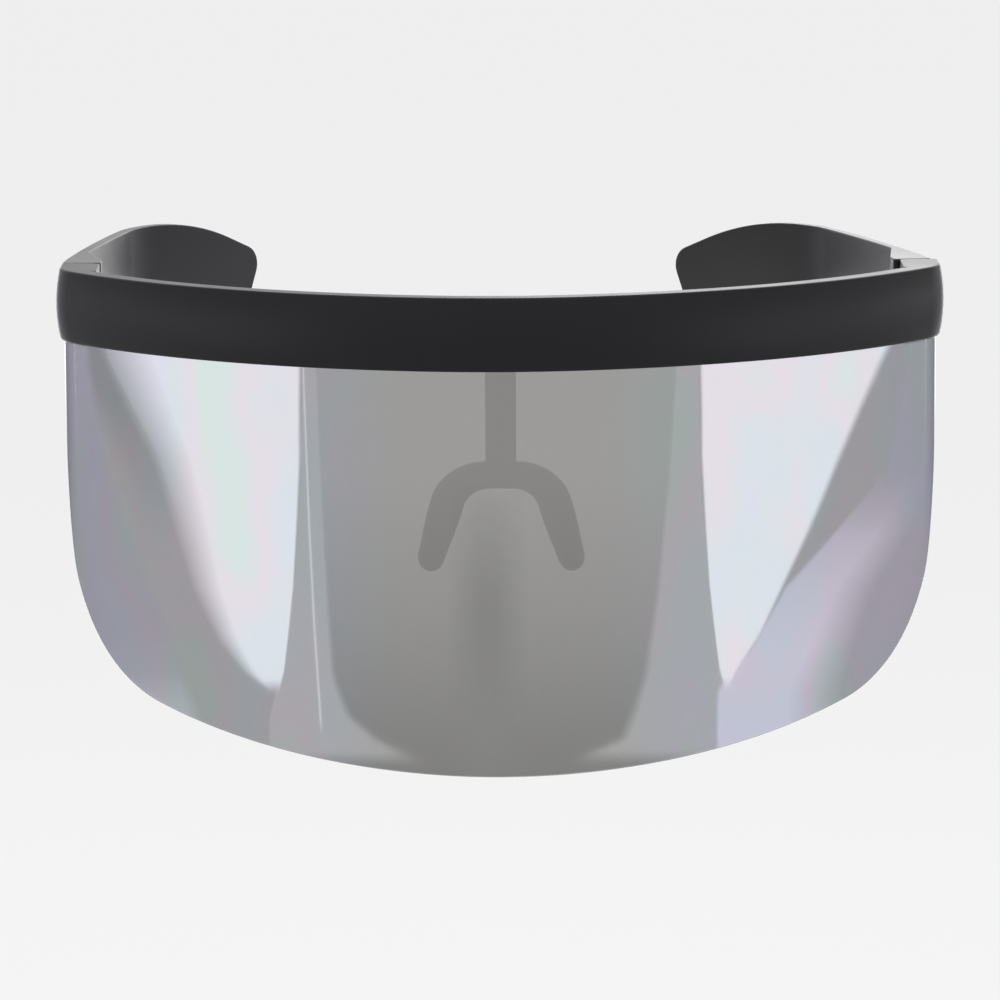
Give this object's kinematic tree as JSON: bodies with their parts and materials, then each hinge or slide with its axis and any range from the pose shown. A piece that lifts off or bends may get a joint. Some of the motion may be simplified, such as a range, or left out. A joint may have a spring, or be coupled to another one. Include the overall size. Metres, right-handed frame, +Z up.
{
  "type": "shield sunglasses",
  "caption": "Shield sunglasses: a mirrored wrap lens hangs from a flat-topped brow bar with hinged temples and a saddle nose piece on a post.",
  "frame": {"origin": "the nose seat: the middle of the underside of the saddle's arch, where it rests on the nose bridge", "axes": "+X to the wearer's left along the brow bar, +Y back towards the face and the temple tips, +Z up"},
  "size_m": [0.1724, 0.1456, 0.0913],
  "materials": {
    "frame": "satin black moulded",
    "temple": "satin black moulded",
    "inner_plastic": "matte black",
    "lens": "silver mirror coating over grey polycarbonate",
    "nose_rubber": "soft matte",
    "small_screw": "dark passivated",
    "hinge_screw": "dark passivated",
    "insert": "turned"
  },
  "bodies": {
    "front": {"brow_bar": "frame", "shield_lens": "lens", "lens_retainer": "inner_plastic", "nose_post": "inner_plastic", "nose_saddle": "nose_rubber", "retainer_screw_left_1": "small_screw", "retainer_screw_left_2": "small_screw", "retainer_screw_left_3": "small_screw", "retainer_screw_right_1": "small_screw", "retainer_screw_right_2": "small_screw", "retainer_screw_right_3": "small_screw", "post_screw_left": "small_screw", "post_screw_right": "small_screw", "hinge_screw_left": "hinge_screw", "hinge_screw_right": "hinge_screw", "hinge_insert_left": "insert", "hinge_insert_right": "insert"},
    "temple_left": {"temple_left": "temple"},
    "temple_right": {"temple_right": "temple"}
  },
  "joints": [
    {"name": "temple_left_hinge", "type": "hinge", "parent": "front", "child": "temple_left", "pos_m": [0.08148, 0.03516, 0.03105], "axis": [0, 0, 1], "range_deg": [-9, 81]},
    {"name": "temple_right_hinge", "type": "hinge", "parent": "front", "child": "temple_right", "pos_m": [-0.08148, 0.03516, 0.03105], "axis": [0, 0, -1], "range_deg": [0, 70]}
  ]
}
